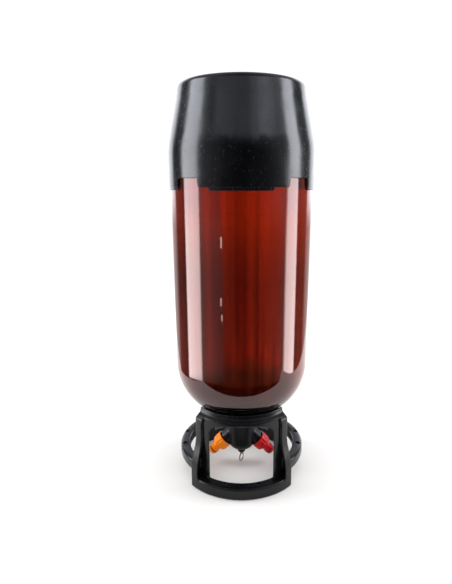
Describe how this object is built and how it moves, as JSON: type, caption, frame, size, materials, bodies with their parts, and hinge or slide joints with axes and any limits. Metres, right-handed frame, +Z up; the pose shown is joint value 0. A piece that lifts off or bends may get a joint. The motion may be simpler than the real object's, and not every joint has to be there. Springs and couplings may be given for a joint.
{
  "type": "pressure fermenter",
  "caption": "Clear amber pressure fermenter standing neck down in a carry stand, with base cup, screw cap, valve posts and relief valve.",
  "frame": {"origin": "on the floor under the bottle's axis, at the middle of the stand's footprint", "axes": "+Z up along the bottle's axis, -Y out of the stand's front window, +X towards the red post"},
  "size_m": [0.246, 0.246, 0.693],
  "materials": {
    "amber_pet": "clear, deep amber, glossy",
    "cup_black": "satin moulded",
    "stand_black": "fine grained moulded",
    "cap_black": "satin moulded",
    "orange_plastic": "satin moulded",
    "red_plastic": "satin moulded",
    "green_plastic": "satin moulded",
    "rubber_black": "matte",
    "steel": "bright drawn wire and pressed steel"
  },
  "bodies": {
    "bottle": {"pet_bottle": "amber_pet", "base_cup": "cup_black", "front_frame": "stand_black", "rear_frame": "stand_black", "frame_screw_1": "steel", "frame_screw_2": "steel", "frame_screw_3": "steel", "frame_screw_4": "steel"},
    "hub": {"port_hub": "cap_black", "cap_seal": "rubber_black", "relief_valve_body": "cap_black", "relief_valve_collar": "green_plastic", "relief_valve_spring": "steel"},
    "cap_ring": {"cap_ring": "cap_black"},
    "relief_stem": {"relief_valve_stem": "steel", "relief_valve_seal": "rubber_black"},
    "pull_ring": {"pull_ring": "steel"},
    "orange_washer": {"orange_cap_washer": "rubber_black"},
    "orange_cap": {"orange_valve_cap": "orange_plastic", "orange_post_oring": "rubber_black", "orange_poppet_spring": "steel"},
    "orange_poppet": {"orange_poppet": "orange_plastic"},
    "red_washer": {"red_cap_washer": "rubber_black"},
    "red_cap": {"red_valve_cap": "red_plastic", "red_post_oring": "rubber_black", "red_poppet_spring": "steel"},
    "red_poppet": {"red_poppet": "red_plastic"}
  },
  "joints": [
    {"name": "cap_lift", "type": "slide", "parent": "bottle", "child": "hub", "axis": [0, 0, -1], "range_m": [0, 0.009]},
    {"name": "cap_ring_turn", "type": "hinge", "parent": "hub", "child": "cap_ring", "pos_m": [0, 0, 0.105], "axis": [0, 0, -1], "range_deg": [0, 811]},
    {"name": "orange_cap_lift", "type": "slide", "parent": "hub", "child": "orange_washer", "axis": [-0.7071, 0, -0.7071], "range_m": [0, 0.00405]},
    {"name": "orange_cap_turn", "type": "hinge", "parent": "orange_washer", "child": "orange_cap", "pos_m": [-0.03712, 0, 0.04588], "axis": [-0.7071, 0, -0.7071], "range_deg": [0, 541]},
    {"name": "orange_poppet_push", "type": "slide", "parent": "orange_cap", "child": "orange_poppet", "axis": [0.7071, 0, 0.7071], "range_m": [0, 0.003], "stiffness_N_per_m": 400, "springref_m": -0.003, "deforming": ["orange_poppet_spring"]},
    {"name": "red_cap_lift", "type": "slide", "parent": "hub", "child": "red_washer", "axis": [0.7071, 0, -0.7071], "range_m": [0, 0.00405]},
    {"name": "red_cap_turn", "type": "hinge", "parent": "red_washer", "child": "red_cap", "pos_m": [0.03712, 0, 0.04588], "axis": [0.7071, 0, -0.7071], "range_deg": [0, 541]},
    {"name": "red_poppet_push", "type": "slide", "parent": "red_cap", "child": "red_poppet", "axis": [-0.7071, 0, 0.7071], "range_m": [0, 0.003], "stiffness_N_per_m": 400, "springref_m": -0.003, "deforming": ["red_poppet_spring"]},
    {"name": "relief_pull", "type": "slide", "parent": "hub", "child": "relief_stem", "axis": [0, 0, -1], "range_m": [0, 0.003], "stiffness_N_per_m": 600, "springref_m": -0.003, "deforming": ["relief_valve_spring"]},
    {"name": "pull_ring_swing", "type": "hinge", "parent": "relief_stem", "child": "pull_ring", "pos_m": [0, 0, 0.0194], "axis": [0.4226, 0.9063, 0], "range_deg": [-70, 70]}
  ],
  "couplings": [
    {"joint": "cap_ring_turn", "follows": "cap_lift", "rad_per_m": 1570.8},
    {"joint": "orange_cap_turn", "follows": "orange_cap_lift", "rad_per_m": 2327.1},
    {"joint": "red_cap_turn", "follows": "red_cap_lift", "rad_per_m": 2327.1}
  ]
}
